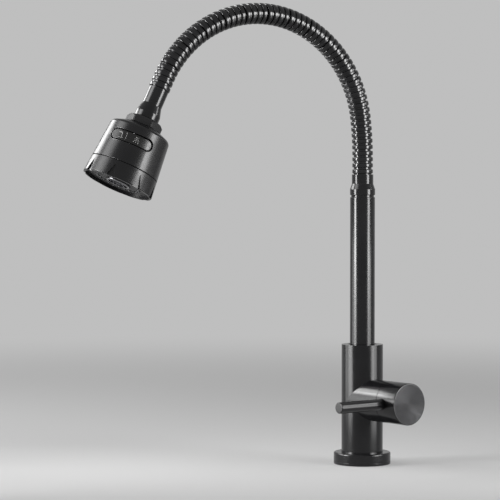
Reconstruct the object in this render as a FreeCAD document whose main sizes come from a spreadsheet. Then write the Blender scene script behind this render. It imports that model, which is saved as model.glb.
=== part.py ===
import FreeCAD, Part
import math
import os
import re
import Sketcher

# Flexible kitchen tap: a deck-mounted body with a side handle, a turning riser, a ribbed
# neck that bends and holds its shape, and a spray head. Millimetres, +Z up, origin at the
# centre of the flange's underside, where the tap meets the worktop.
# The neck's arch lies in the YZ plane and reaches towards -Y.

doc = FreeCAD.newDocument("flexible_tap")

values = {
    # Fits
    "slip": 0.05,
    "loose": 0.3,
    "edge_round": 0.8,
    "soft_round": 1.6,
    # Fixing under the worktop
    "deck_gap": 22.0,
    "shank_radius": 10.48,
    "shank_bore": 7.5,
    "shank_below": 54.0,
    "shank_engagement": 12.0,
    "shank_lead": 1.2,
    "relief_drop": 0.5,
    "relief_width": 1.0,
    "relief_depth": 0.6,
    "gasket_inner": 15.0,
    "gasket_outer": 24.0,
    "gasket_thickness": 1.6,
    "rubber_washer_radius": 24.0,
    "rubber_washer_thickness": 3.0,
    "steel_washer_radius": 22.0,
    "steel_washer_thickness": 1.5,
    "lock_nut_flats": 32.0,
    "lock_nut_height": 8.0,
    # Body
    "flange_radius": 27.5,
    "flange_height": 11.4,
    "flange_web": 5.0,
    "flange_line_at": 2.2,
    "flange_line_height": 0.7,
    "flange_line_depth": 0.7,
    "body_radius": 20.0,
    "body_top": 115.4,
    "inlet_offset": 8.0,
    "inlet_radius": 4.0,
    "outlet_offset": 4.0,
    "outlet_radius": 4.5,
    "tail_socket_rise": 13.5,
    "bush_rise": 17.0,
    "bush_wall": 1.9,
    "bush_recess": 0.5,
    # Barrel and its ceramic headwork; the barrel is swung about Z from +X
    "barrel_turn": 10.0,
    "barrel_height": 62.5,
    "barrel_radius": 20.0,
    "barrel_face": 42.3,
    "barrel_end": 68.0,
    "chamber_radius": 9.6,
    "chamber_floor": -2.0,
    "mouth_radius": 15.0,
    "mouth_floor": 30.0,
    "seat_seal_thickness": 2.0,
    "disc_radius": 8.2,
    "disc_thickness": 3.5,
    "disc_port_radius": 1.9,
    "disc_port_offset": 4.6,
    "housing_bore": 8.3,
    "housing_neck_radius": 7.0,
    "housing_neck_end": 45.0,
    "housing_flange_radius": 12.0,
    "housing_flange_thickness": 3.0,
    "housing_window_width": 7.0,
    "housing_window_start": 7.0,
    "housing_window_length": 6.0,
    "housing_ring_at": 21.0,
    "drive_thickness": 2.5,
    "spindle_radius": 4.0,
    "spindle_end": 60.0,
    "spindle_ring_at": 36.0,
    "spindle_clip_at": 45.4,
    "clip_thickness": 0.8,
    "clip_radius": 5.6,
    "clip_groove_radius": 3.3,
    "cord_radius": 0.8,
    "headwork_nut_flats": 24.0,
    "headwork_nut_height": 7.0,
    "slip_ring_thickness": 0.4,
    "slip_ring_width": 3.7,
    # Handle
    "cap_wall": 3.2,
    "cap_end_wall": 4.0,
    "insert_radius": 9.0,
    "insert_start": 48.0,
    "boss_radius": 13.6,
    "lever_along": 51.2,
    "lever_radius": 5.3,
    "lever_reach": 73.0,
    "lever_spigot_radius": 3.0,
    "lever_spigot_start": 10.5,
    "set_screw_along": 57.5,
    "set_screw_radius": 2.0,
    "set_screw_start": 9.3,
    "set_screw_length": 6.0,
    # Riser
    "riser_radius": 12.0,
    "riser_bore": 10.5,
    "riser_top": 257.4,
    "tail_bore": 6.0,
    "tail_plug_length": 14.0,
    "tail_groove_rise": 12.6,
    "tail_groove_height": 4.0,
    "tail_groove_radius": 10.2,
    "tail_ring_rise": 3.0,
    "tail_ring_step": 4.4,
    "retainer_radius": 2.5,
    "retainer_tip_radius": 1.6,
    "retainer_tip_length": 2.4,
    "collar_groove_radius": 11.1,
    "collar_groove_height": 1.9,
    "collar_bead_radius": 12.15,
    "collar_bead_height": 5.6,
    "collar_flare_height": 5.4,
    "collar_spigot_length": 12.0,
    "collar_spigot_bore": 4.2,
    "ferrule_radius": 10.35,
    "ferrule_height": 9.0,
    # Neck
    "neck_lead": 14.8,
    "arc1_radius": 311.5,
    "arc1_turn": 7.2,
    "arc2_radius": 111.1,
    "arc2_turn": 147.0,
    "neck_tail": 11.6,
    "neck_radius": 10.0,
    "link_gap": 1.7,
    "neck_bore": 5.6,
    "nose_radius": 7.6,
    "nose_height": 4.5,
    "socket_clearance": 0.2,
    "spigot_radius": 8.0,
    "spigot_length": 6.0,
    "hose_radius": 5.3,
    "hose_bore": 3.75,
    "hose_grip": 17.0,
    "hose_tail_radius": 3.7,
    "hose_tail_bore": 2.8,
    "hose_tail_flange": 1.5,
    "hose_tail_length": 14.0,
    # Upper ferrule and swivel
    "upper_ferrule_radius": 9.3,
    "upper_ferrule_foot_radius": 11.7,
    "upper_ferrule_length": 30.4,
    "upper_flare_start": 16.0,
    "upper_flare_end": 24.5,
    "flare_round": 4.8,
    "connector_radius": 6.0,
    "connector_bore": 4.2,
    "connector_flange_radius": 9.4,
    "connector_flange_thickness": 1.8,
    "nut_gap": 0.6,
    "nut_corner_radius": 17.8,
    "nut_height": 6.8,
    "nut_lid": 1.6,
    "nut_chamfer": 2.2,
    "nut_skirt_radius": 13.0,
    "nut_skirt_length": 6.0,
    "swivel_washer_thickness": 1.5,
    # Head, measured down the head's axis from the neck's end
    "head_top": 38.6,
    "head_shoulder": 42.6,
    "head_shoulder_radius": 27.5,
    "head_corner_radius": 28.8,
    "head_corner": 44.6,
    "head_rim_radius": 33.7,
    "head_end": 96.7,
    "head_seam": 80.3,
    "head_seam_gap": 0.4,
    "head_wall": 2.2,
    "rim_round": 0.9,
    "core_spigot_radius": 10.4,
    "core_bore": 5.6,
    "core_plate_thickness": 3.0,
    "core_plate_radius": 22.0,
    "core_tube_radius": 12.9,
    "core_tube_wall": 1.4,
    "collar_lap": 6.0,
    "flute_count": 8,
    "flute_height": 12.5,
    "flute_width": 8.4,
    "flute_depth": 1.8,
    "flute_turn": -6.3,
    "plate_recess": 3.0,
    "plate_thickness": 2.0,
    "plate_hole_radius": 12.0,
    "nozzle_count": 24,
    "nozzle_circle": 20.5,
    "nozzle_radius": 1.1,
    "nozzle_proud": 0.9,
    "mat_thickness": 1.5,
    "mat_width": 9.0,
    "aerator_start": 76.0,
    "aerator_wall": 1.3,
    "mesh_count": 3,
    "mesh_thickness": 0.5,
    "mesh_step": 1.6,
    "aerator_ring_height": 4.0,
    "aerator_ring_inner": 9.6,
    "aerator_proud": 1.6,
    # Rocker that changes the spray, in a window on the head's side
    "window_turn": 33.0,
    "window_half_angle": 42.0,
    "window_height": 11.6,
    "window_along": 57.0,
    "pocket_wall": 1.5,
    "rocker_thickness": 3.0,
    "rocker_sink": 0.5,
    "rocker_gap": 0.8,
    "rocker_tilt": 3.0,
    "rocker_pivot_depth": 5.5,
    "rocker_lug_radius": 2.2,
    "rocker_pin_radius": 1.0,
    "rocker_pin_length": 13.6,
}
link_count = 15
straightness = 1e-6
rough_middle = 10.0  # where a sketch's loop starts, before its corners are bound
rough_reach = 5.0
centre = FreeCAD.Vector(0, 0, 0)
up = FreeCAD.Vector(0, 0, 1)

sheet = doc.addObject("Spreadsheet::Sheet", "sizes")
for row, (name, value) in enumerate(values.items(), 1):
    sheet.set("A%d" % row, name)
    sheet.set("B%d" % row, str(value))
    sheet.setAlias("B%d" % row, name)
doc.recompute()

kept = {}  # node name to its document object


def size(name):
    return float(sheet.get(name))


def cell(match):
    word = match.group()
    return "sizes." + word if word in values else word


def bound(text):
    # names of sizes become references to the sheet's cells
    return re.sub(r"[a-z]\w*", cell, str(text))


def place(thing, spot=("0", "0", "0"), turn=("0", "0", "0")):
    # turn is yaw about Z, then pitch about Y, then roll about X
    vector = "create(<<vector>>; %s; %s; %s)" % spot
    rotation = "create(<<rotation>>; %s; %s; %s)" % turn
    thing.setExpression("Placement", bound("create(<<placement>>; %s; %s)" % (vector, rotation)))
    return thing


def keep(node, thing):
    thing.Label = node
    kept[node] = thing
    return thing


# Frames and heights that several pieces share

TAIL_FLOOR = "(barrel_height + tail_socket_rise)"  # floor of the socket that the riser turns in
BUSH_FLOOR = "(barrel_height + tail_socket_rise + bush_rise)"
TAIL_GROOVE = "(barrel_height + tail_socket_rise + tail_groove_rise)"
BARREL = ("barrel_turn", "90", "0")  # local Z runs out along the barrel, local X points down
LEVER = ("barrel_turn", "0", "90")  # local Z runs out of the barrel's side towards -Y
END_TURN = "(arc1_turn + arc2_turn)"
HEAD = ("0", "0", END_TURN)  # local Z runs down the head's axis
FERRULE_TOP = "(riser_top + collar_groove_height + collar_bead_height + collar_flare_height + ferrule_height)"
END_Y = (
    "(-(arc1_radius * (1 - cos(arc1_turn)) + arc2_radius * (cos(arc1_turn) - cos(%s))"
    " + neck_tail * sin(%s)))" % (END_TURN, END_TURN)
)
END_Z = (
    "(%s + neck_lead + arc1_radius * sin(arc1_turn) + arc2_radius * (sin(%s) - sin(arc1_turn))"
    " + neck_tail * cos(%s))" % (FERRULE_TOP, END_TURN, END_TURN)
)


def along_barrel(distance, side="0"):
    # side is measured from the barrel's axis towards the lever
    return (
        "(%s) * cos(barrel_turn) + (%s) * sin(barrel_turn)" % (distance, side),
        "(%s) * sin(barrel_turn) - (%s) * cos(barrel_turn)" % (distance, side),
        "barrel_height",
    )


def along_head(distance):
    return (
        "0",
        "%s - (%s) * sin(%s)" % (END_Y, distance, END_TURN),
        "%s + (%s) * cos(%s)" % (END_Z, distance, END_TURN),
    )


IN_BARREL = (along_barrel("0"), BARREL)
IN_HEAD = (along_head("0"), HEAD)

# Makers of turned, round and flat pieces


def origin_plane(body, role):
    return [feature for feature in body.Origin.OriginFeatures if feature.Role == role][0]


def closed_sketch(body, name, points, role="XZ_Plane"):
    # drawn as a rough loop, then each corner's place is bound to the sheet
    sketch = body.newObject("Sketcher::SketchObject", name)
    sketch.AttachmentSupport = [(origin_plane(body, role), "")]
    sketch.MapMode = "FlatFace"
    count = len(points)
    rough = []
    for index in range(count + 1):
        turn = 2 * math.pi * index / count
        across = rough_middle + rough_reach * math.cos(turn)
        rough.append(FreeCAD.Vector(across, rough_reach * math.sin(turn), 0))
    for start, end in zip(rough, rough[1:]):
        sketch.addGeometry(Part.LineSegment(start, end))
    for index in range(count):
        sketch.addConstraint(Sketcher.Constraint("Coincident", index, 2, (index + 1) % count, 1))
    for index, corner in enumerate(points):
        for kind, text in zip(("DistanceX", "DistanceY"), corner):
            at = sketch.addConstraint(Sketcher.Constraint(kind, index, 1, 1.0))
            sketch.setExpression("Constraints[%d]" % at, bound(text))
    return sketch


def corner_of(sketch, index):
    point = sketch.getPoint(index, 1)
    return point.x, point.y


def ring_edges(shape, radius, height):
    # the names of the circles of this radius at this height on the axis of turning
    found = []
    for index, edge in enumerate(shape.Edges, 1):
        curve = edge.Curve
        if not isinstance(curve, Part.Circle) or abs(curve.Radius - radius) > 1e-4:
            continue
        if abs(curve.Center.z - height) < 1e-4 and math.hypot(curve.Center.x, curve.Center.y) < 1e-4:
            found.append("Edge%d" % index)
    return found


def turned_body(name, points, rounds=None):
    # a body of revolution about its own Z; rounds gives a fillet's size for a corner's number
    body = doc.addObject("PartDesign::Body", name)
    sketch = closed_sketch(body, name + "_profile", points)
    turning = body.newObject("PartDesign::Revolution", name + "_turning")
    turning.Profile = sketch
    turning.ReferenceAxis = (sketch, ["V_Axis"])
    turning.Angle = 360
    doc.recompute()
    for index, radius in (rounds or {}).items():
        base = body.Tip
        edges = ring_edges(base.Shape, *corner_of(sketch, index))
        fillet = body.newObject("PartDesign::Fillet", "%s_round_%d" % (name, index))
        fillet.Base = (base, edges)
        fillet.setExpression("Radius", bound(radius))
        doc.recompute()
    return body


def turned(node, points, rounds=None, where=None):
    body = turned_body(node, points, rounds)
    if where:
        place(body, *where)
    return keep(node, body)


def rod(name, radius, length, where=None):
    cylinder = doc.addObject("Part::Cylinder", name)
    cylinder.setExpression("Radius", bound(radius))
    cylinder.setExpression("Height", bound(length))
    if where:
        place(cylinder, *where)
    return cylinder


def hexagon(name, corner_radius, height, where=None):
    prism = doc.addObject("Part::Prism", name)
    prism.Polygon = 6
    prism.setExpression("Circumradius", bound(corner_radius))
    prism.setExpression("Height", bound(height))
    if where:
        place(prism, *where)
    return prism


def o_ring(name, middle_radius, cord_radius, where):
    ring = doc.addObject("Part::Torus", name)
    ring.setExpression("Radius1", bound(middle_radius))
    ring.setExpression("Radius2", bound(cord_radius))
    return place(ring, *where)


def cut(name, base, *tools):
    tool = tools[0]
    if len(tools) > 1:
        tool = doc.addObject("Part::MultiFuse", name + "_cuts")
        tool.Shapes = list(tools)
    result = doc.addObject("Part::Cut", name)
    result.Base = base
    result.Tool = tool
    return result


def joined(name, *things):
    result = doc.addObject("Part::MultiFuse", name)
    result.Shapes = list(things)
    return result


def shared(name, base, tool):
    result = doc.addObject("Part::Common", name)
    result.Base = base
    result.Tool = tool
    return result


def group(name, things):
    result = doc.addObject("Part::Compound", name)
    result.Links = list(things)
    return result


def tube_points(inner, outer, low, high):
    return [(inner, low), (outer, low), (outer, high), (inner, high)]


# Fixing under the worktop: shank, gasket, washers and lock nut


def fixing_set():
    rubber_low = "-deck_gap - rubber_washer_thickness"
    steel_low = rubber_low + " - steel_washer_thickness"
    relief_high = steel_low + " - lock_nut_height - relief_drop"
    relief_low = relief_high + " - relief_width"
    turned("mounting_shank", [
        ("shank_bore", "-shank_below"),
        ("shank_radius - shank_lead", "-shank_below"),
        ("shank_radius", "-shank_below + shank_lead"),
        ("shank_radius", relief_low),
        ("shank_radius - relief_depth", relief_low),
        ("shank_radius - relief_depth", relief_high),
        ("shank_radius", relief_high),
        ("shank_radius", "flange_web + shank_engagement"),
        ("shank_bore", "flange_web + shank_engagement"),
    ])
    turned("base_gasket", tube_points("gasket_inner", "gasket_outer", "0", "gasket_thickness"))
    turned("deck_rubber_washer", tube_points(
        "shank_radius + loose", "rubber_washer_radius", rubber_low, "-deck_gap"), {2: "edge_round"})
    turned("deck_steel_washer", tube_points(
        "shank_radius + loose", "steel_washer_radius", steel_low, rubber_low))
    corner_radius = "lock_nut_flats / (2 * cos(30))"
    low = ("0", "0", steel_low + " - lock_nut_height")
    blank = hexagon("lock_nut_hexagon", corner_radius, "lock_nut_height", (low,))
    cone = turned_body("lock_nut_chamfers", [
        ("0", "0"),
        ("lock_nut_flats / 2", "0"),
        (corner_radius, "lock_nut_height / 5"),
        (corner_radius, "lock_nut_height"),
        ("0", "lock_nut_height"),
    ])
    place(cone, low)
    hole = rod("lock_nut_thread", "shank_radius + slip", "lock_nut_height", (low,))
    keep("lock_nut", cut("lock_nut_cut", shared("lock_nut_blank", blank, cone), hole))


# Flange and body: one upright cylinder with the barrel crossing into its side


def flange_and_body():
    turned("base_flange", [
        ("shank_radius + loose", "gasket_thickness"),
        ("gasket_inner - loose", "gasket_thickness"),
        ("gasket_inner - loose", "gasket_thickness + slip"),
        ("gasket_outer + slip", "gasket_thickness + slip"),
        ("gasket_outer + slip", "0"),
        ("flange_radius", "0"),
        ("flange_radius", "flange_line_at"),
        ("flange_radius - flange_line_depth", "flange_line_at"),
        ("flange_radius - flange_line_depth", "flange_line_at + flange_line_height"),
        ("flange_radius", "flange_line_at + flange_line_height"),
        ("flange_radius", "flange_height"),
        ("body_radius + slip", "flange_height"),
        ("body_radius + slip", "flange_web"),
        ("shank_radius + loose", "flange_web"),
    ], {10: "soft_round", 5: "edge_round / 2"})
    column = turned_body("body_column", [
        ("0", "flange_web"),
        ("body_radius", "flange_web"),
        ("body_radius", "body_top"),
        ("0", "body_top"),
    ])
    barrel = rod("body_barrel", "barrel_radius", "barrel_face", IN_BARREL)
    blank = joined("body_blank", column, barrel)
    bores = [
        rod("shank_socket", "shank_radius + slip", "shank_engagement + slip", (("0", "0", "flange_web"),)),
        rod("inlet_rise", "inlet_radius", "barrel_height - flange_web",
            (("-inlet_offset * cos(barrel_turn)", "-inlet_offset * sin(barrel_turn)", "flange_web"),)),
        rod("inlet_cross", "inlet_radius", "inlet_offset", (along_barrel("-inlet_offset"), BARREL)),
        rod("chamber", "chamber_radius", "barrel_face - chamber_floor",
            (along_barrel("chamber_floor"), BARREL)),
        rod("barrel_mouth", "mouth_radius", "barrel_face - mouth_floor",
            (along_barrel("mouth_floor"), BARREL)),
        rod("outlet_rise", "outlet_radius", "tail_socket_rise + slip",
            (("outlet_offset * cos(barrel_turn)", "outlet_offset * sin(barrel_turn)", "barrel_height"),)),
        rod("tail_socket", "riser_radius + slip", "body_top - " + TAIL_FLOOR, (("0", "0", TAIL_FLOOR),)),
        rod("bush_socket", "riser_radius + bush_wall + slip", "body_top - " + BUSH_FLOOR,
            (("0", "0", BUSH_FLOOR),)),
        rod("retainer_hole", "retainer_radius + slip", "body_radius + slip",
            (("0", "0", TAIL_GROOVE), ("0", "0", "-90"))),
    ]
    keep("tap_body", cut("tap_body_cut", blank, *bores))
    turned("swivel_bush", tube_points(
        "riser_radius + slip", "riser_radius + bush_wall", BUSH_FLOOR, "body_top - bush_recess"))
    turned("riser_retainer", [
        ("0", "tail_groove_radius + loose"),
        ("retainer_tip_radius", "tail_groove_radius + loose"),
        ("retainer_tip_radius", "tail_groove_radius + loose + retainer_tip_length"),
        ("retainer_radius", "tail_groove_radius + loose + retainer_tip_length"),
        ("retainer_radius", "body_radius - edge_round"),
        ("0", "body_radius - edge_round"),
    ], where=(("0", "0", TAIL_GROOVE), ("0", "0", "-90")))


# Ceramic headwork inside the barrel: seat, discs, housing, spindle and its nut


def ported_disc(node, low):
    blank = turned_body(node + "_blank", [
        ("0", low),
        ("disc_radius", low),
        ("disc_radius", low + " + disc_thickness"),
        ("0", low + " + disc_thickness"),
    ])
    ports = []
    for side in (1, -1):
        port = rod("%s_port_%d" % (node, len(ports)), "disc_port_radius", "disc_thickness")
        place(port, ("0", "%d * disc_port_offset" % side, low))
        ports.append(port)
    return keep(node, place(cut(node + "_cut", blank, *ports), *IN_BARREL))


def headwork():
    seat = "chamber_floor"
    first = seat + " + seat_seal_thickness"
    second = first + " + disc_thickness"
    drive = second + " + disc_thickness"
    turned("cartridge_seat_seal", tube_points("inlet_radius", "disc_radius", seat, first), where=IN_BARREL)
    ported_disc("ceramic_disc_fixed", first)
    ported_disc("ceramic_disc_moving", second)
    flange_end = "mouth_floor + housing_flange_thickness"
    ring_low = "housing_ring_at - cord_radius - slip"
    ring_high = "housing_ring_at + cord_radius + slip"
    ring_floor = "chamber_radius - slip - 2 * cord_radius"
    sleeve = turned_body("housing_sleeve", [
        ("housing_bore", first),
        ("chamber_radius - slip", first),
        ("chamber_radius - slip", ring_low),
        (ring_floor, ring_low),
        (ring_floor, ring_high),
        ("chamber_radius - slip", ring_high),
        ("chamber_radius - slip", "mouth_floor"),
        ("housing_flange_radius", "mouth_floor"),
        ("housing_flange_radius", flange_end),
        ("housing_neck_radius", flange_end),
        ("housing_neck_radius", "housing_neck_end"),
        ("spindle_radius + slip", "housing_neck_end"),
        ("spindle_radius + slip", drive + " + drive_thickness + slip"),
        ("housing_bore", drive + " + drive_thickness + slip"),
    ])
    window = doc.addObject("Part::Box", "housing_window")
    window.setExpression("Length", bound("housing_window_width"))
    window.setExpression("Width", bound("2 * chamber_radius"))
    window.setExpression("Height", bound("housing_window_length"))
    place(window, ("-housing_window_width / 2", "-chamber_radius", "housing_window_start"))
    keep("cartridge_housing", place(cut("cartridge_housing_cut", sleeve, window), *IN_BARREL))
    keep("cartridge_o_ring", o_ring("cartridge_o_ring", "chamber_radius - slip - cord_radius", "cord_radius",
                                    (along_barrel("housing_ring_at"), BARREL)))
    groove_low = "spindle_ring_at - cord_radius - slip"
    groove_high = "spindle_ring_at + cord_radius + slip"
    groove_floor = "spindle_radius - 2 * cord_radius"
    turned("cartridge_spindle", [
        ("0", drive),
        ("disc_radius", drive),
        ("disc_radius", drive + " + drive_thickness"),
        ("spindle_radius", drive + " + drive_thickness"),
        ("spindle_radius", groove_low),
        (groove_floor, groove_low),
        (groove_floor, groove_high),
        ("spindle_radius", groove_high),
        ("spindle_radius", "spindle_clip_at - slip"),
        ("clip_groove_radius", "spindle_clip_at - slip"),
        ("clip_groove_radius", "spindle_clip_at + clip_thickness + slip"),
        ("spindle_radius", "spindle_clip_at + clip_thickness + slip"),
        ("spindle_radius", "spindle_end"),
        ("0", "spindle_end"),
    ], where=IN_BARREL)
    keep("spindle_o_ring", o_ring("spindle_o_ring", "spindle_radius - cord_radius", "cord_radius - slip / 2",
                                  (along_barrel("spindle_ring_at"), BARREL)))
    clip = turned_body("spindle_clip_ring", tube_points(
        "clip_groove_radius + slip", "clip_radius", "spindle_clip_at", "spindle_clip_at + clip_thickness"))
    gap = doc.addObject("Part::Box", "spindle_clip_gap")
    gap.setExpression("Length", bound("clip_radius"))
    gap.setExpression("Width", bound("clip_groove_radius"))
    gap.setExpression("Height", bound("2 * clip_thickness"))
    place(gap, ("0", "-clip_groove_radius / 2", "spindle_clip_at - clip_thickness / 2"))
    keep("spindle_clip", place(cut("spindle_clip_cut", clip, gap), *IN_BARREL))
    nut_at = (along_barrel(flange_end), BARREL)
    nut = hexagon("headwork_nut_hexagon", "headwork_nut_flats / (2 * cos(30))", "headwork_nut_height", nut_at)
    hole = rod("headwork_nut_hole", "housing_neck_radius + slip", "headwork_nut_height", nut_at)
    keep("headwork_nut", cut("headwork_nut_cut", nut, hole))
    ring_outer = "barrel_radius - edge_round"
    turned("barrel_slip_ring", tube_points(
        ring_outer + " - slip_ring_width", ring_outer, "barrel_face", "barrel_face + slip_ring_thickness"),
        where=IN_BARREL)


# Handle: cap over the headwork, splined insert, pin lever and set screw


def handle():
    cap_start = "barrel_face + slip_ring_thickness + slip"
    turned("handle_insert", [
        ("spindle_radius + slip", "insert_start"),
        ("insert_radius", "insert_start"),
        ("insert_radius", "barrel_end - cap_end_wall"),
        ("0", "barrel_end - cap_end_wall"),
        ("0", "spindle_end + slip"),
        ("spindle_radius + slip", "spindle_end + slip"),
    ], where=IN_BARREL)
    shell = turned_body("cap_shell", [
        ("barrel_radius - cap_wall", cap_start),
        ("barrel_radius", cap_start),
        ("barrel_radius", "barrel_end"),
        ("0", "barrel_end"),
        ("0", "barrel_end - cap_end_wall + slip"),
        ("insert_radius + slip", "barrel_end - cap_end_wall + slip"),
        ("insert_radius + slip", "insert_start"),
        ("boss_radius", "insert_start"),
        ("boss_radius", "barrel_end - cap_end_wall"),
        ("barrel_radius - cap_wall", "barrel_end - cap_end_wall"),
    ], {2: "edge_round", 1: "edge_round / 3"})
    place(shell, *IN_BARREL)
    lever_hole = rod("lever_hole", "lever_spigot_radius + slip", "barrel_radius",
                     (along_barrel("lever_along"), LEVER))
    screw_hole = rod("set_screw_hole", "set_screw_radius + slip", "barrel_radius + slip",
                     (along_barrel("set_screw_along"), ("0", "180", "0")))
    bay = rod("insert_bay", "insert_radius + slip", "barrel_end - cap_end_wall + slip - insert_start",
              (along_barrel("insert_start"), BARREL))
    drillings = cut("cap_holes", joined("cap_drillings", lever_hole, screw_hole), bay)
    keep("handle_cap", cut("handle_cap_cut", shell, drillings))
    turned("lever", [
        ("0", "lever_spigot_start"),
        ("lever_spigot_radius", "lever_spigot_start"),
        ("lever_spigot_radius", "barrel_radius"),
        ("lever_radius", "barrel_radius"),
        ("lever_radius", "lever_reach"),
        ("0", "lever_reach"),
    ], {4: "edge_round"}, where=(along_barrel("lever_along"), LEVER))
    turned("handle_set_screw", [
        ("0", "set_screw_start"),
        ("set_screw_radius", "set_screw_start"),
        ("set_screw_radius", "set_screw_start + set_screw_length"),
        ("0", "set_screw_start + set_screw_length"),
    ], where=(along_barrel("set_screw_along"), ("0", "180", "0")))


# Riser: tube, plugged tail with two seals, collar and lower ferrule


def riser():
    tail_end = BUSH_FLOOR + " - loose"
    turned("riser_tube", tube_points(
        "riser_bore", "riser_radius", tail_end, "riser_top"), {2: "edge_round / 2"})
    groove_low = TAIL_GROOVE + " - tail_groove_height / 2"
    groove_high = TAIL_GROOVE + " + tail_groove_height / 2"
    ring_heights = [TAIL_FLOOR + " + tail_ring_rise"]
    ring_heights.append(ring_heights[0] + " + tail_ring_step")
    ring_floor = "riser_radius - 2 * cord_radius"
    points = [("tail_bore", TAIL_FLOOR + " + loose"), ("riser_radius", TAIL_FLOOR + " + loose")]
    for height in ring_heights:
        low = height + " - cord_radius - slip"
        high = height + " + cord_radius + slip"
        points += [("riser_radius", low), (ring_floor, low), (ring_floor, high), ("riser_radius", high)]
    points += [
        ("riser_radius", groove_low),
        ("tail_groove_radius", groove_low),
        ("tail_groove_radius", groove_high),
        ("riser_radius", groove_high),
        ("riser_radius", tail_end),
        ("riser_bore - slip", tail_end),
        ("riser_bore - slip", tail_end + " + tail_plug_length"),
        ("tail_bore", tail_end + " + tail_plug_length"),
    ]
    turned("riser_tail", points)
    rings = []
    for name, height in zip(("riser_o_ring_low", "riser_o_ring_high"), ring_heights):
        where = (("0", "0", height),)
        rings.append(o_ring(name, "riser_radius - cord_radius", "cord_radius - slip / 2", where))
    keep("riser_o_rings", group("riser_ring_pair", rings))

    groove_top = "riser_top + collar_groove_height"
    bead_top = groove_top + " + collar_bead_height"
    flare_top = bead_top + " + collar_flare_height"
    seat = FERRULE_TOP + " - hose_grip - hose_tail_flange"
    turned("riser_collar", [
        ("collar_spigot_bore", "riser_top - collar_spigot_length"),
        ("riser_bore - slip", "riser_top - collar_spigot_length"),
        ("riser_bore - slip", "riser_top"),
        ("collar_groove_radius", "riser_top"),
        ("collar_groove_radius", groove_top),
        ("collar_bead_radius", groove_top),
        ("collar_bead_radius", bead_top),
        ("ferrule_radius - slip", flare_top),
        ("hose_radius + loose", flare_top),
        ("hose_radius + loose", seat),
        ("collar_spigot_bore", seat),
    ], {5: "edge_round", 6: "soft_round"})
    turned("lower_ferrule", [
        ("hose_radius + loose", flare_top),
        ("ferrule_radius", flare_top),
        ("ferrule_radius", FERRULE_TOP),
        ("spigot_radius + slip", FERRULE_TOP),
        ("spigot_radius + slip", FERRULE_TOP + " - spigot_length - slip"),
        ("hose_radius + loose", FERRULE_TOP + " - spigot_length - slip"),
    ], {2: "edge_round / 3"})
    turned("hose_tail_lower", hose_tail(seat, ""))


def hose_tail(seat, sign):
    # a flanged tube: the flange sits on a step and the stem grips the inside of the hose
    flange = seat + " %s hose_tail_flange" % (sign or "+")
    stem = seat + " %s (hose_tail_flange + hose_tail_length)" % (sign or "+")
    return [
        ("hose_tail_bore", seat),
        ("hose_radius", seat),
        ("hose_radius", flange),
        ("hose_tail_radius", flange),
        ("hose_tail_radius", stem),
        ("hose_tail_bore", stem),
    ]


# Neck: its route is a straight lead, a wide arc, a tight arc and a short straight tail


def arc_part(radius, turn):
    return "arc", radius * math.radians(turn), radius, math.radians(turn)


def route_parts():
    return [
        ("line", size("neck_lead"), 0.0, 0.0),
        arc_part(size("arc1_radius"), size("arc1_turn")),
        arc_part(size("arc2_radius"), size("arc2_turn")),
        ("line", size("neck_tail"), 0.0, 0.0),
    ]


neck_base = sum(size(name) for name in (
    "riser_top", "collar_groove_height", "collar_bead_height", "collar_flare_height", "ferrule_height"))
neck_length = sum(part[1] for part in route_parts())
link_length = neck_length / link_count


def route_frame(distance):
    # the place and direction of the neck's centre line; beyond its ends the route runs straight
    y, z, angle = 0.0, neck_base, 0.0
    left = distance
    for number, (kind, length, radius, turn) in enumerate(route_parts()):
        last = number == len(route_parts()) - 1
        step = left if last or left < length else length
        if kind == "line":
            y -= step * math.sin(angle)
            z += step * math.cos(angle)
        else:
            swept = turn * step / length
            y -= radius * (math.cos(angle) - math.cos(angle + swept))
            z += radius * (math.sin(angle + swept) - math.sin(angle))
            angle += swept
        left -= step
        if not last and step < length:
            break
    turned_frame = FreeCAD.Rotation(FreeCAD.Vector(1, 0, 0), math.degrees(angle))
    return FreeCAD.Placement(FreeCAD.Vector(0, y, z), turned_frame)


def on_route(shape, distance):
    shape.Placement = route_frame(distance)
    return shape


def section(distance, radius):
    circle = Part.Circle(centre, up, radius)
    return Part.Wire([on_route(circle.toShape(), distance)])


def bend_tube(start, end, radius):
    # a tube's solid along the route, in straight runs and arcs that meet without a corner
    marks = [start] + [part_end(index) for index in range(3) if start < part_end(index) < end] + [end]
    edges = []
    for low, high in zip(marks, marks[1:]):
        first, middle, last = route_frame(low), route_frame((low + high) / 2), route_frame(high)
        if first.Rotation.isSame(last.Rotation, straightness):
            edges.append(Part.LineSegment(first.Base, last.Base).toShape())
        else:
            edges.append(Part.Arc(first.Base, middle.Base, last.Base).toShape())
    return Part.Wire(edges).makePipeShell([section(start, radius)], True, False)


def neck_link(number):
    # one link of the neck: a bent tube with a ball nose at its upper end and a socket at its lower end
    start = number * link_length
    end = start + link_length
    half_gap = size("link_gap") / 2
    nose = size("nose_radius")
    spigot = size("spigot_length")
    link = bend_tube(start + half_gap, end - half_gap, size("neck_radius"))
    if number < link_count - 1:
        low_angle = math.degrees(math.asin(-half_gap / nose))
        high_angle = math.degrees(math.asin(size("nose_height") / nose))
        ball = Part.makeSphere(nose, centre, up, low_angle, high_angle, 360)
        link = link.fuse(on_route(ball, end))
    else:
        plug = Part.makeCylinder(size("spigot_radius"), spigot + half_gap)
        link = link.fuse(on_route(plug, end - half_gap))
    if number > 0:
        socket = Part.makeSphere(nose + size("socket_clearance"))
        link = link.cut(on_route(socket, start))
    else:
        plug = Part.makeCylinder(size("spigot_radius"), spigot + half_gap)
        link = link.fuse(on_route(plug, start - spigot))
    return link.cut(bend_tube(start - spigot - half_gap, end + spigot + half_gap, size("neck_bore")))


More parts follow.
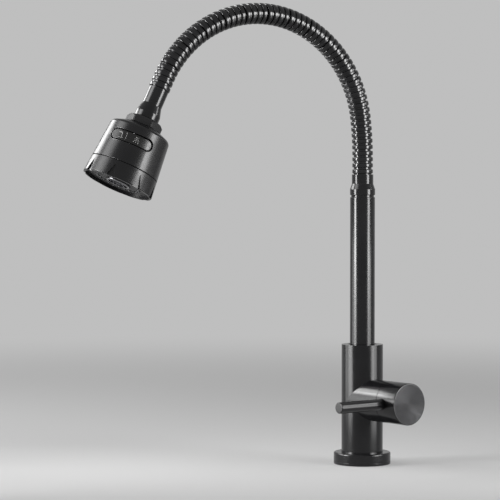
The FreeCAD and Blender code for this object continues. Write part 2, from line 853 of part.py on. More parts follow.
def hose_shape():
    # the inner hose follows the neck's own route, held at each end in its ferrule
    grip = size("hose_grip")
    outer = bend_tube(-grip, neck_length + grip, size("hose_radius"))
    hose = outer.cut(bend_tube(-grip, neck_length + grip, size("hose_bore")))
    expected = math.pi * (size("hose_radius") ** 2 - size("hose_bore") ** 2) * (neck_length + 2 * grip)
    print("hose volume against section times length: %.5f" % (hose.Volume / expected))
    return hose


def part_end(index):
    return sum(part[1] for part in route_parts()[:index + 1])


def solid_feature(node, shape):
    feature = doc.addObject("Part::Feature", node)
    feature.Shape = shape
    return keep(node, feature)


def neck():
    for number in range(link_count):
        solid_feature("neck_link_%02d" % (number + 1), neck_link(number))
    solid_feature("water_hose", hose_shape())
    print("neck length %.1f, link length %.3f" % (neck_length, link_length))


# Upper ferrule, swivel connector and nut


def swivel():
    seat = "hose_grip + hose_tail_flange"
    turned("upper_ferrule", [
        ("hose_radius + loose", "spigot_length + slip"),
        ("spigot_radius + slip", "spigot_length + slip"),
        ("spigot_radius + slip", "0"),
        ("upper_ferrule_radius", "0"),
        ("upper_ferrule_radius", "upper_flare_start"),
        ("upper_ferrule_foot_radius", "upper_flare_end"),
        ("upper_ferrule_foot_radius", "upper_ferrule_length"),
        ("connector_radius + slip", "upper_ferrule_length"),
        ("connector_radius + slip", seat),
        ("hose_radius + loose", seat),
    ], {6: "edge_round", 4: "flare_round", 5: "flare_round"}, where=IN_HEAD)
    turned("hose_tail_upper", hose_tail(seat, "-"), where=IN_HEAD)
    nut_low = "upper_ferrule_length + nut_gap"
    flange_low = nut_low + " + nut_lid + slip"
    flange_high = flange_low + " + connector_flange_thickness"
    turned("swivel_connector", [
        ("connector_bore", seat),
        ("connector_radius", seat),
        ("connector_radius", flange_low),
        ("connector_flange_radius", flange_low),
        ("connector_flange_radius", flange_high),
        ("connector_bore", flange_high),
    ], where=IN_HEAD)
    washer_high = flange_high + " + slip + swivel_washer_thickness"
    turned("swivel_washer", tube_points(
        "connector_bore", "connector_flange_radius", flange_high + " + slip", washer_high), where=IN_HEAD)
    nut_high = nut_low + " + nut_height"
    hexagon_blank = hexagon("swivel_hexagon", "nut_corner_radius", "nut_height", (along_head(nut_low), HEAD))
    crown = turned_body("swivel_crown", [
        ("0", nut_low),
        ("nut_corner_radius * cos(30)", nut_low),
        ("nut_corner_radius - edge_round / 2", nut_low + " + nut_chamfer"),
        ("nut_corner_radius - edge_round / 2", nut_high),
        ("0", nut_high),
    ])
    place(crown, *IN_HEAD)
    skirt = rod("swivel_skirt", "nut_skirt_radius", "nut_height + nut_skirt_length",
                (along_head(nut_low), HEAD))
    solid = joined("swivel_solid", shared("swivel_head", hexagon_blank, crown), skirt)
    bore = turned_body("swivel_bore", [
        ("0", nut_low),
        ("connector_radius + slip", nut_low),
        ("connector_radius + slip", nut_low + " + nut_lid"),
        ("core_spigot_radius + slip", nut_low + " + nut_lid"),
        ("core_spigot_radius + slip", nut_high + " + nut_skirt_length"),
        ("0", nut_high + " + nut_skirt_length"),
    ])
    place(bore, *IN_HEAD)
    keep("swivel_nut", cut("swivel_nut_cut", solid, bore))
    return washer_high, nut_high + " + nut_skirt_length"


# Head: core, upper shell with the rocker's window, grip ring with flutes, face and aerator

SIDE_SLOPE = "((head_rim_radius - head_corner_radius) / (head_end - head_corner))"


def side_radius(height):
    return "head_corner_radius + (%s - head_corner) * %s" % (height, SIDE_SLOPE)


def side_radius_at(height):
    slope = (size("head_rim_radius") - size("head_corner_radius")) / (size("head_end") - size("head_corner"))
    return size("head_corner_radius") + (height - size("head_corner")) * slope


def spun(shape, angle, off_axis=0.0):
    # a copy turned about an upright line that crosses the local X axis
    line = FreeCAD.Vector(off_axis, 0, 0)
    rotation = FreeCAD.Rotation(up, angle)
    return shape.transformed(FreeCAD.Placement(FreeCAD.Vector(), rotation, line).toMatrix(), True)


def wrapped_slot(inner_radius, outer_radius, margin):
    # an obround block round the head's axis between two radii, larger than the window by the margin
    height = size("window_height") + 2 * margin
    middle = size("window_along")
    low = middle - height / 2
    surface = side_radius_at(middle)
    half_angle = math.radians(size("window_half_angle")) + margin / surface
    straight = math.degrees(half_angle - height / 2 / surface)
    block = Part.makeCylinder(outer_radius, height, FreeCAD.Vector(0, 0, low), up, 2 * straight)
    core = Part.makeCylinder(inner_radius, 3 * height, FreeCAD.Vector(0, 0, low - height))
    block = spun(block, -straight).cut(core)
    for angle in (-straight, straight):
        base = FreeCAD.Vector(inner_radius, 0, middle)
        end = Part.makeCylinder(height / 2, outer_radius - inner_radius, base, FreeCAD.Vector(1, 0, 0))
        block = block.fuse(spun(end, angle))
    return block


def side_cone(sink):
    # everything inside the head's sloping side, less the sink
    low, high = size("head_corner"), size("head_end")
    slope = math.atan((size("head_rim_radius") - size("head_corner_radius")) / (high - low))
    inset = sink / math.cos(slope)
    return Part.makeCone(side_radius_at(low) - inset, side_radius_at(high) - inset, high - low,
                         FreeCAD.Vector(0, 0, low))


def pivot_radius():
    return side_radius_at(size("window_along")) - size("rocker_pivot_depth")


def facing_window(name, shape):
    feature = doc.addObject("Part::Feature", name)
    feature.Shape = spun(shape, size("window_turn"))
    return feature


def pivot_rod(radius, length):
    base = FreeCAD.Vector(pivot_radius(), 0, size("window_along") - length / 2)
    return Part.makeCylinder(radius, length, base)


def head_shell(skirt_end):
    crown_floor = skirt_end + " + loose"
    inner = "head_corner_radius - head_wall"
    blank = turned_body("shell_blank", [
        ("nut_skirt_radius + loose", "head_top"),
        ("nut_corner_radius + edge_round", "head_top"),
        ("head_shoulder_radius", "head_shoulder"),
        ("head_corner_radius", "head_corner"),
        (side_radius("head_seam"), "head_seam"),
        (side_radius("head_seam") + " - head_wall - slip", "head_seam"),
        (side_radius("head_seam") + " - head_wall - slip", "head_seam + collar_lap"),
        (inner, "head_seam + collar_lap"),
        (inner, crown_floor),
        ("nut_skirt_radius + loose", crown_floor),
    ], {2: "soft_round", 3: "soft_round / 2", 4: "edge_round / 2"})
    floor_radius = pivot_radius() - size("rocker_lug_radius") - size("rocker_gap")
    wall = size("pocket_wall")
    cup = wrapped_slot(floor_radius - wall, side_radius_at(size("window_along")), wall)
    cup = cup.common(side_cone(size("head_wall") / 2))
    pocket = wrapped_slot(floor_radius, size("head_rim_radius") + wall, 0)
    pin_hole = pivot_rod(size("rocker_pin_radius") + size("slip"), size("rocker_pin_length"))
    shell = joined("shell_with_cup", blank, facing_window("rocker_cup", cup))
    openings = facing_window("rocker_pocket", pocket), facing_window("pin_hole", pin_hole)
    shell = cut("shell_with_pocket", shell, *openings)
    keep("head_shell", place(shell, *IN_HEAD))


def rocker():
    surface = side_radius_at(size("window_along"))
    inner = surface - size("rocker_sink") - size("rocker_thickness")
    face = wrapped_slot(inner, size("head_rim_radius"), -size("rocker_gap"))
    face = face.common(side_cone(size("rocker_sink")))
    lug_length = size("window_height") - 2 * size("rocker_gap")
    lug = pivot_rod(size("rocker_lug_radius"), lug_length)
    web_depth = size("rocker_pivot_depth") - size("rocker_sink") - size("rocker_thickness") / 2
    web = Part.makeBox(web_depth, 2 * size("rocker_lug_radius"), lug_length, FreeCAD.Vector(
        pivot_radius(), -size("rocker_lug_radius"), size("window_along") - lug_length / 2))
    solid = face.fuse(web).fuse(lug)
    solid = solid.cut(pivot_rod(size("rocker_pin_radius") + size("slip"), size("rocker_pin_length")))
    solid = spun(solid, -size("rocker_tilt"), pivot_radius())
    keep("selector_rocker", place(facing_window("rocker_block", solid), *IN_HEAD))
    pin = pivot_rod(size("rocker_pin_radius"), size("rocker_pin_length") - 2 * size("slip"))
    keep("rocker_pin", place(facing_window("rocker_pin_rod", pin), *IN_HEAD))


def patterned(body, feature, count):
    # repeats a body's last feature round its own Z
    pattern = body.newObject("PartDesign::PolarPattern", body.Name + "_pattern")
    pattern.Originals = [feature]
    pattern.Axis = (origin_plane(body, "Z_Axis"), [""])
    pattern.Angle = 360
    pattern.Occurrences = int(size(count))
    pattern.setExpression("Occurrences", bound(count))
    body.Tip = pattern
    return pattern


def circle_sketch(body, name, radius, offset):
    # a circle on the body's XY plane, off its axis along X
    sketch = body.newObject("Sketcher::SketchObject", name)
    sketch.AttachmentSupport = [(origin_plane(body, "XY_Plane"), "")]
    sketch.MapMode = "FlatFace"
    sketch.addGeometry(Part.Circle(FreeCAD.Vector(size("nozzle_circle"), 0, 0), up, size("nozzle_radius")))
    for kind, point, text in (("Radius", [], radius), ("DistanceX", [3], offset)):
        at = sketch.addConstraint(Sketcher.Constraint(kind, 0, *point, 1.0))
        sketch.setExpression("Constraints[%d]" % at, bound(text))
    sketch.addConstraint(Sketcher.Constraint("PointOnObject", 0, 3, -1))
    return sketch


def grip_ring():
    low = "head_seam + head_seam_gap"
    ledge = "head_end - plate_recess - plate_thickness"
    seat_radius = side_radius("head_end") + " - head_wall"
    body = turned_body("grip_ring", [
        (side_radius("head_seam") + " - head_wall", low),
        (side_radius(low), low),
        ("head_rim_radius", "head_end"),
        (seat_radius, "head_end"),
        (seat_radius, ledge),
        (side_radius("head_seam") + " - head_wall", ledge),
    ], {1: "edge_round / 2", 2: "rim_round"})
    base = body.Tip
    sketch = closed_sketch(body, "flute_outline", [
        ("0", "head_end - flute_height"),
        ("flute_width / 2", "head_end + rim_round"),
        ("-flute_width / 2", "head_end + rim_round"),
    ])
    sketch.setExpression("AttachmentOffset", bound(
        "create(<<placement>>; create(<<vector>>; 0; 0; head_rim_radius - flute_depth);"
        " create(<<rotation>>; create(<<vector>>; 0; 1; 0); 0))"))
    flute = body.newObject("PartDesign::Pocket", "flute")
    flute.Profile = sketch
    flute.Reversed = True
    flute.Type = "ThroughAll"
    doc.recompute()
    print("flute takes %.1f" % (base.Shape.Volume - flute.Shape.Volume))
    patterned(body, flute, "flute_count")
    turning = doc.addObject("Part::Compound", "grip_ring_turned")
    turning.Links = [body]
    place(body, turn=("flute_turn", "0", "0"))
    keep("grip_ring", place(turning, *IN_HEAD))


def face_and_nozzles():
    back = "head_end - plate_recess - plate_thickness"
    front = "head_end - plate_recess"
    plate = turned_body("face_plate", tube_points(
        "plate_hole_radius", side_radius("head_end") + " - head_wall - slip", back, front))
    sketch = circle_sketch(plate, "nozzle_hole_outline", "nozzle_radius + slip", "nozzle_circle")
    hole = plate.newObject("PartDesign::Pocket", "nozzle_hole")
    hole.Profile = sketch
    hole.Reversed = True
    hole.Type = "ThroughAll"
    doc.recompute()
    patterned(plate, hole, "nozzle_count")
    keep("face_plate", place(plate, *IN_HEAD))
    mat = turned_body("nozzle_mat", tube_points(
        "nozzle_circle - mat_width / 2", "nozzle_circle + mat_width / 2", back + " - mat_thickness", back))
    sketch = circle_sketch(mat, "nozzle_outline", "nozzle_radius", "nozzle_circle")
    raised = "create(<<vector>>; 0; 0; %s - mat_thickness / 2)" % back
    sketch.setExpression("AttachmentOffset", bound(
        "create(<<placement>>; %s; create(<<rotation>>; 0; 0; 0))" % raised))
    nozzle = mat.newObject("PartDesign::Pad", "nozzle")
    nozzle.Profile = sketch
    nozzle.setExpression("Length", bound("plate_thickness + nozzle_proud + mat_thickness / 2"))
    doc.recompute()
    patterned(mat, nozzle, "nozzle_count")
    keep("nozzle_mat", place(mat, *IN_HEAD))


def core_and_aerator(washer_high, skirt_end):
    plate_top = skirt_end + " + loose"
    plate_low = plate_top + " + core_plate_thickness"
    back = "head_end - plate_recess - plate_thickness"
    turned("head_core", [
        ("core_bore", washer_high),
        ("core_spigot_radius", washer_high),
        ("core_spigot_radius", plate_top),
        ("core_plate_radius", plate_top),
        ("core_plate_radius", plate_low),
        ("core_tube_radius", plate_low),
        ("core_tube_radius", back),
        ("core_tube_radius - core_tube_wall", back),
        ("core_tube_radius - core_tube_wall", plate_low + " + core_tube_wall"),
        ("core_bore", plate_low + " + core_tube_wall"),
    ], where=IN_HEAD)
    ring_low = "head_end - plate_recess + aerator_proud - aerator_ring_height"
    turned("aerator_housing", tube_points(
        "core_tube_radius - core_tube_wall - slip - aerator_wall", "core_tube_radius - core_tube_wall - slip",
        "aerator_start", ring_low), where=IN_HEAD)
    disc_radius = "core_tube_radius - core_tube_wall - aerator_wall - 2 * slip"
    discs = []
    for number in range(int(size("mesh_count"))):
        disc_low = "%s - mesh_thickness - %d * mesh_step" % (ring_low, number)
        where = (along_head(disc_low), HEAD)
        discs.append(rod("mesh_disc_%d" % number, disc_radius, "mesh_thickness", where))
    keep("aerator_mesh", group("mesh_discs", discs))
    ring_high = ring_low + " + aerator_ring_height"
    turned("aerator_ring", tube_points(
        "aerator_ring_inner", "core_tube_radius - core_tube_wall - slip", ring_low, ring_high),
        {2: "edge_round"}, where=IN_HEAD)


def build():
    fixing_set()
    flange_and_body()
    headwork()
    handle()
    riser()
    neck()
    washer_high, skirt_end = swivel()
    core_and_aerator(washer_high, skirt_end)
    head_shell(skirt_end)
    grip_ring()
    face_and_nozzles()
    rocker()


def check_and_write():
    doc.recompute()
    for thing in doc.Objects:
        for word in ("Invalid", "Error"):
            if word in thing.State:
                raise RuntimeError("%s is %s" % (thing.Label, word))
    os.makedirs("parts", exist_ok=True)
    for node, thing in kept.items():
        shape = thing.Shape
        if shape.isNull() or not shape.isValid():
            raise RuntimeError("%s has no valid shape" % node)
        print("%-22s solids %d volume %.1f" % (node, len(shape.Solids), shape.Volume))
        shape.exportStep("parts/%s.step" % node)
    print(len(kept), "nodes")


build()
check_and_write()
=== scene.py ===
import math

import bmesh
import bpy
from mathutils import Matrix, Vector


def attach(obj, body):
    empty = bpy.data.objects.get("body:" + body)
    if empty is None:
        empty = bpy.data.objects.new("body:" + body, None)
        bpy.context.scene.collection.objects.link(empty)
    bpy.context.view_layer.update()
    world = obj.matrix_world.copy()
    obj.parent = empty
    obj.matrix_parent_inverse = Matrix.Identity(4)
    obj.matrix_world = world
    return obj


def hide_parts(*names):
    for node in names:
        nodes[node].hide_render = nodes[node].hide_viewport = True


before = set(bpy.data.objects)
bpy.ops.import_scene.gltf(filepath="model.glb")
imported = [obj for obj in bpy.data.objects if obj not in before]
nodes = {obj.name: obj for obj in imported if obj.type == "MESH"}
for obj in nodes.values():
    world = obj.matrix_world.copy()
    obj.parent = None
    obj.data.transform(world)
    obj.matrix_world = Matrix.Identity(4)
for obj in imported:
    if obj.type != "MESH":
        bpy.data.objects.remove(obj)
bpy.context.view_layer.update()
scene = bpy.context.scene
print("frame loaded,", len(nodes), "nodes")

# metres, +Z up; the tap stands on z = 0 and its arch reaches towards -Y
millimetre = 0.001


# Camera: the photograph's own angle, from beside the lever

cameraPlace = {
    "azimuth": 62.0,  # degrees round from -Y towards +X
    "distance": 2.2,
    "aside": -0.1085,  # the riser stands this far right of the picture's middle
    "height": 0.29,
    "pitch": 2.176,  # degrees down
    "pixelsPerUnit": 2282.0,
    "frameWidth": 500.0,
    "sensor": 36.0,
    "nearest": 0.05,
    "furthest": 60.0,
}


def setCamera(place):
    turn = math.radians(place["azimuth"])
    towards = Vector((math.sin(turn), -math.cos(turn), 0))
    right = Vector((math.cos(turn), math.sin(turn), 0))
    down = math.radians(place["pitch"])
    data = bpy.data.cameras.new("photoCamera")
    data.sensor_width = place["sensor"]
    data.lens = place["pixelsPerUnit"] / place["frameWidth"] * place["sensor"]
    data.clip_start = place["nearest"]
    data.clip_end = place["furthest"]
    camera = bpy.data.objects.new("photoCamera", data)
    scene.collection.objects.link(camera)
    camera.location = towards * place["distance"] + right * place["aside"]
    camera.location.z = place["height"]
    look = -towards * math.cos(down) - Vector((0, 0, math.sin(down)))
    camera.rotation_euler = look.to_track_quat("-Z", "Y").to_euler()
    scene.camera = camera
    return towards, right


towardsCamera, cameraRight = setCamera(cameraPlace)


# Studio: a grey floor that fades into an even surround, and soft boxes

studio = {
    "surround": 0.52,
    "diffuseSurround": 0.15,
    "floorColour": 0.55,
    "floorRoughness": 0.75,
    "floorSpecular": 0.2,
    "glowNear": 0.45,  # share of even glow in the floor at the tap, which makes the lamps' patches fainter
    "floorRadius": 9.0,
    "floorSides": 96,
    "fadeStart": 0.5,
    "fadeEnd": 1.7,
    "floorDrop": 0.0002,
}

# bearing in degrees from the camera to its right, distance and height in metres, and the height aimed at;
# width, height and power of the box itself, and the angle in degrees that its grid lets through
softBoxes = {
    "leftNear": ((-74.0, 0.34, 0.1, 0.08), (0.2, 0.2, 0.3, 90.0)),
    "leftBehind": ((-103.0, 0.36, 0.11, 0.08), (0.16, 0.2, 0.1, 90.0)),
    "rightNear": ((73.0, 0.34, 0.1, 0.08), (0.2, 0.2, 0.18, 90.0)),
    "rightLow": ((64.0, 0.62, 0.13, 0.1), (0.15, 0.24, 0.6, 180.0)),
    "leftBox": ((-74.0, 1.1, 0.42, 0.36), (0.35, 0.6, 2.0, 55.0)),
    "rightBox": ((60.0, 1.1, 0.42, 0.36), (0.42, 0.6, 1.5, 55.0)),
    "upperBack": ((-122.0, 1.0, 0.71, 0.25), (0.6, 0.28, 5.2, 180.0)),
    "barrelSide": ((-104.0, 1.0, 0.56, 0.2), (0.3, 0.2, 2.4, 180.0)),
    "headAbove": ((-75.0, 1.2, 1.16, 0.3), (0.95, 0.36, 1.4, 70.0)),
    "leverSide": ((88.0, 0.8, 0.49, 0.08), (0.28, 0.16, 1.2, 180.0)),
}
lampsAim = -0.08  # the lamps point at this Y, between the riser and the head


def setStudio(look):
    world = bpy.data.worlds.new("paleSurround")
    scene.world = world
    world.use_nodes = True
    tree = world.node_tree
    tree.nodes.clear()
    seen = tree.nodes.new("ShaderNodeLightPath")
    direct = tree.nodes.new("ShaderNodeMath")
    direct.operation = "MAXIMUM"
    clear = tree.nodes.new("ShaderNodeMath")
    clear.operation = "MAXIMUM"
    tree.links.new(seen.outputs["Is Camera Ray"], direct.inputs[0])
    tree.links.new(seen.outputs["Is Glossy Ray"], direct.inputs[1])
    tree.links.new(direct.outputs[0], clear.inputs[0])
    tree.links.new(seen.outputs["Is Transmission Ray"], clear.inputs[1])
    strength = tree.nodes.new("ShaderNodeMapRange")
    strength.inputs["To Min"].default_value = look["diffuseSurround"]
    strength.inputs["To Max"].default_value = look["surround"]
    tree.links.new(clear.outputs[0], strength.inputs["Value"])
    background = tree.nodes.new("ShaderNodeBackground")
    background.inputs["Color"].default_value = (1, 1, 1, 1)
    tree.links.new(strength.outputs["Result"], background.inputs["Strength"])
    output = tree.nodes.new("ShaderNodeOutputWorld")
    tree.links.new(background.outputs[0], output.inputs["Surface"])


def floorMaterial(look):
    material = bpy.data.materials.new("paleFloor")
    material.use_nodes = True
    tree = material.node_tree
    shader = tree.nodes["Principled BSDF"]
    shader.inputs["Base Color"].default_value = (look["floorColour"],) * 3 + (1,)
    shader.inputs["Roughness"].default_value = look["floorRoughness"]
    shader.inputs["Specular IOR Level"].default_value = look["floorSpecular"]
    place = tree.nodes.new("ShaderNodeTexCoord")
    length = tree.nodes.new("ShaderNodeVectorMath")
    length.operation = "LENGTH"
    tree.links.new(place.outputs["Object"], length.inputs[0])
    fade = tree.nodes.new("ShaderNodeMapRange")
    fade.interpolation_type = "SMOOTHSTEP"
    fade.inputs["From Min"].default_value = look["fadeStart"]
    fade.inputs["From Max"].default_value = look["fadeEnd"]
    fade.inputs["To Min"].default_value = look["glowNear"]
    tree.links.new(length.outputs["Value"], fade.inputs["Value"])
    glow = tree.nodes.new("ShaderNodeEmission")
    glow.inputs["Color"].default_value = (1, 1, 1, 1)
    glow.inputs["Strength"].default_value = look["surround"]
    mix = tree.nodes.new("ShaderNodeMixShader")
    tree.links.new(fade.outputs["Result"], mix.inputs["Fac"])
    tree.links.new(shader.outputs[0], mix.inputs[1])
    tree.links.new(glow.outputs[0], mix.inputs[2])
    tree.links.new(mix.outputs[0], tree.nodes["Material Output"].inputs["Surface"])
    return material


def setFloor(look):
    mesh = bpy.data.meshes.new("paleFloor")
    shape = bmesh.new()
    sides, radius = look["floorSides"], look["floorRadius"]
    bmesh.ops.create_circle(shape, cap_ends=True, segments=sides, radius=radius)
    shape.to_mesh(mesh)
    shape.free()
    floor = bpy.data.objects.new("paleFloor", mesh)
    floor.location.z = -look["floorDrop"]
    scene.collection.objects.link(floor)
    mesh.materials.append(floorMaterial(look))


def setSoftBox(name, place, box):
    bearing, distance, height, aim = place
    data = bpy.data.lights.new(name, "AREA")
    data.shape = "RECTANGLE"
    data.size, data.size_y, data.energy, grid = box
    data.spread = math.radians(grid)
    lamp = bpy.data.objects.new(name, data)
    target = Vector((0, lampsAim, aim))
    turn = math.radians(bearing)
    lamp.location = target + (towardsCamera * math.cos(turn) + cameraRight * math.sin(turn)) * distance
    lamp.location.z = height
    lamp.rotation_euler = (target - lamp.location).to_track_quat("-Z", "Y").to_euler()
    scene.collection.objects.link(lamp)


setStudio(studio)
setFloor(studio)
for boxName, (boxPlace, boxItself) in softBoxes.items():
    setSoftBox(boxName, boxPlace, boxItself)
scene.view_settings.view_transform = "Standard"
print("camera, floor and soft boxes set")


# Finishes: each is a shader with its own patches, grain and roughness, some with worn edges

finishes = {
    "black_gloss": {
        "colours": ((0.0035, 0.0035, 0.004), (0.0065, 0.0065, 0.007)), "patches": 38,
        "roughness": (0.17, 0.2), "grain": 700, "bump": 0.002, "metallic": 0.0, "specular": 0.32,
        "wornEdge": 0.3, "wornColour": (0.04, 0.04, 0.042)},
    "spun_black": {
        "colours": ((0.014, 0.014, 0.015), (0.024, 0.024, 0.026)), "patches": 60,
        "roughness": (0.3, 0.38), "grain": 1800, "bump": 0.01, "metallic": 0.25, "specular": 0.26,
        "rings": 1500, "ringBump": 0.3, "anisotropic": 0.85},
    "rib_black": {
        "colours": ((0.0035, 0.0035, 0.004), (0.007, 0.007, 0.0078)), "patches": 70,
        "roughness": (0.15, 0.19), "grain": 900, "bump": 0.003, "metallic": 0.0, "specular": 0.42},
    "head_black": {
        "colours": ((0.0035, 0.0035, 0.004), (0.006, 0.006, 0.0066)), "patches": 30,
        "roughness": (0.25, 0.29), "grain": 700, "bump": 0.001, "metallic": 0.0, "specular": 0.34,
        "wornEdge": 0.3, "wornColour": (0.04, 0.04, 0.042)},
    "nut_black": {
        "colours": ((0.0035, 0.0035, 0.004), (0.006, 0.006, 0.0066)), "patches": 30,
        "roughness": (0.55, 0.62), "grain": 700, "bump": 0.001, "metallic": 0.0, "specular": 0.3,
        "wornEdge": 0.3, "wornColour": (0.04, 0.04, 0.042)},
    "face_black": {
        "colours": ((0.006, 0.006, 0.0064), (0.011, 0.011, 0.0116)), "patches": 90,
        "roughness": (0.4, 0.52), "grain": 2600, "bump": 0.1, "metallic": 0.0, "specular": 0.25},
    "rocker_grey": {
        "colours": ((0.006, 0.006, 0.006), (0.0105, 0.0105, 0.01)), "patches": 55,
        "roughness": (0.24, 0.34), "grain": 1500, "bump": 0.02, "metallic": 0.0, "specular": 0.35},
    "sign_print": {
        "colours": ((0.2, 0.2, 0.2), (0.3, 0.3, 0.295)), "patches": 300,
        "roughness": (0.3, 0.45), "grain": 1800, "bump": 0.03, "metallic": 0.0, "specular": 0.4},
    "seal_rubber": {
        "colours": ((0.018, 0.018, 0.018), (0.032, 0.032, 0.031)), "patches": 120,
        "roughness": (0.55, 0.75), "grain": 900, "bump": 0.12, "metallic": 0.0, "specular": 0.35},
    "nozzle_rubber": {
        "colours": ((0.03, 0.031, 0.032), (0.052, 0.053, 0.055)), "patches": 110,
        "roughness": (0.45, 0.6), "grain": 1400, "bump": 0.06, "metallic": 0.0, "specular": 0.3},
    "brass_raw": {
        "colours": ((0.66, 0.46, 0.2), (0.8, 0.6, 0.3)), "patches": 80,
        "roughness": (0.24, 0.4), "grain": 900, "bump": 0.05, "metallic": 1.0, "specular": 0.5},
    "steel": {
        "colours": ((0.46, 0.46, 0.47), (0.62, 0.62, 0.63)), "patches": 90,
        "roughness": (0.28, 0.46), "grain": 1500, "bump": 0.08, "metallic": 1.0, "specular": 0.5},
    "bright_trim": {
        "colours": ((0.14, 0.14, 0.145), (0.22, 0.22, 0.23)), "patches": 60,
        "roughness": (0.16, 0.26), "grain": 1200, "bump": 0.02, "metallic": 1.0, "specular": 0.5},
    "white_plastic": {
        "colours": ((0.74, 0.74, 0.71), (0.84, 0.84, 0.81)), "patches": 60,
        "roughness": (0.4, 0.55), "grain": 1800, "bump": 0.05, "metallic": 0.0, "specular": 0.5},
    "ceramic_white": {
        "colours": ((0.8, 0.79, 0.75), (0.87, 0.86, 0.83)), "patches": 50,
        "roughness": (0.12, 0.22), "grain": 1500, "bump": 0.01, "metallic": 0.0, "specular": 0.5},
    "hose_clear": {
        "colours": ((0.42, 0.44, 0.45), (0.54, 0.56, 0.57)), "patches": 70,
        "roughness": (0.35, 0.5), "grain": 900, "bump": 0.05, "metallic": 0.0, "specular": 0.45},
}
grainLook = {
    "noiseLow": 0.3,  # noise lies mostly between these two
    "noiseHigh": 0.7,
    "roughPatches": 5,  # patches of roughness to one patch of colour
    "bumpDepth": 0.0002,
    "ringWaver": 0.4,
    "edgeReach": 0.0005,
    "edgeSamples": 4,
    "edgeFrom": 0.995,  # wear starts where the rounded and the real surface agree this far
    "edgeTo": 0.9,  # and is full here
}


def noiseInto(tree, place, scale, detail):
    noise = tree.nodes.new("ShaderNodeTexNoise")
    noise.inputs["Scale"].default_value = scale
    noise.inputs["Detail"].default_value = detail
    tree.links.new(place, noise.inputs["Vector"])
    return noise.outputs["Fac"]


def noiseOver(tree, value, low, high):
    # carries noise onto a range
    node = tree.nodes.new("ShaderNodeMapRange")
    node.inputs["From Min"].default_value = grainLook["noiseLow"]
    node.inputs["From Max"].default_value = grainLook["noiseHigh"]
    node.inputs["To Min"].default_value = low
    node.inputs["To Max"].default_value = high
    tree.links.new(value, node.inputs["Value"])
    return node.outputs["Result"]


def colourBetween(tree, share, first, second):
    node = tree.nodes.new("ShaderNodeMix")
    node.data_type = "RGBA"
    tree.links.new(share, node.inputs["Factor"])
    for socket, colour in (("A", first), ("B", second)):
        target = [s for s in node.inputs if s.name == socket and s.type == "RGBA"][0]
        if isinstance(colour, tuple):
            target.default_value = (*colour, 1)
        else:
            tree.links.new(colour, target)
    return [s for s in node.outputs if s.type == "RGBA"][0]


def edgeShare(tree):
    # 1 where a rounded copy of the surface would turn away from the real one, so on edges
    rounded = tree.nodes.new("ShaderNodeBevel")
    rounded.samples = grainLook["edgeSamples"]
    rounded.inputs["Radius"].default_value = grainLook["edgeReach"]
    flat = tree.nodes.new("ShaderNodeNewGeometry")
    compare = tree.nodes.new("ShaderNodeVectorMath")
    compare.operation = "DOT_PRODUCT"
    tree.links.new(rounded.outputs["Normal"], compare.inputs[0])
    tree.links.new(flat.outputs["Normal"], compare.inputs[1])
    share = tree.nodes.new("ShaderNodeMapRange")
    share.inputs["From Min"].default_value = grainLook["edgeFrom"]
    share.inputs["From Max"].default_value = grainLook["edgeTo"]
    tree.links.new(compare.outputs["Value"], share.inputs["Value"])
    return share.outputs["Result"]


def finishMaterial(name, look):
    material = bpy.data.materials.new(name)
    material.use_nodes = True
    tree = material.node_tree
    shader = tree.nodes["Principled BSDF"]
    shader.inputs["Metallic"].default_value = look["metallic"]
    shader.inputs["Specular IOR Level"].default_value = look["specular"]
    place = tree.nodes.new("ShaderNodeTexCoord").outputs["Object"]
    patches = noiseOver(tree, noiseInto(tree, place, look["patches"], 4), 0, 1)
    colour = colourBetween(tree, patches, *look["colours"])
    if "wornEdge" in look:
        share = edgeShare(tree)
        scale = tree.nodes.new("ShaderNodeMath")
        scale.operation = "MULTIPLY"
        scale.inputs[1].default_value = look["wornEdge"]
        tree.links.new(share, scale.inputs[0])
        colour = colourBetween(tree, scale.outputs[0], colour, look["wornColour"])
    tree.links.new(colour, shader.inputs["Base Color"])
    roughScale = look["patches"] * grainLook["roughPatches"]
    rough = noiseOver(tree, noiseInto(tree, place, roughScale, 3), *look["roughness"])
    tree.links.new(rough, shader.inputs["Roughness"])
    bump = tree.nodes.new("ShaderNodeBump")
    bump.inputs["Distance"].default_value = grainLook["bumpDepth"]
    bump.inputs["Strength"].default_value = look["bump"]
    tree.links.new(noiseInto(tree, place, look["grain"], 2), bump.inputs["Height"])
    if "rings" in look:
        rings = tree.nodes.new("ShaderNodeTexWave")
        rings.wave_type = "RINGS"
        rings.rings_direction = "Z"
        rings.inputs["Scale"].default_value = look["rings"]
        rings.inputs["Distortion"].default_value = grainLook["ringWaver"]
        tree.links.new(place, rings.inputs["Vector"])
        spun = tree.nodes.new("ShaderNodeBump")
        spun.inputs["Distance"].default_value = grainLook["bumpDepth"]
        spun.inputs["Strength"].default_value = look["ringBump"]
        tree.links.new(rings.outputs["Fac"], spun.inputs["Height"])
        tree.links.new(bump.outputs["Normal"], spun.inputs["Normal"])
        bump = spun
        shader.inputs["Anisotropic"].default_value = look["anisotropic"]
        tangent = tree.nodes.new("ShaderNodeTangent")
        tangent.direction_type = "RADIAL"
        tangent.axis = "Z"
        tree.links.new(tangent.outputs["Tangent"], shader.inputs["Tangent"])
    tree.links.new(bump.outputs["Normal"], shader.inputs["Normal"])
    return material


materials = {name: finishMaterial(name, look) for name, look in finishes.items()}
print(len(materials), "finishes made")


# CAD nodes that keep their shape take their finish by name

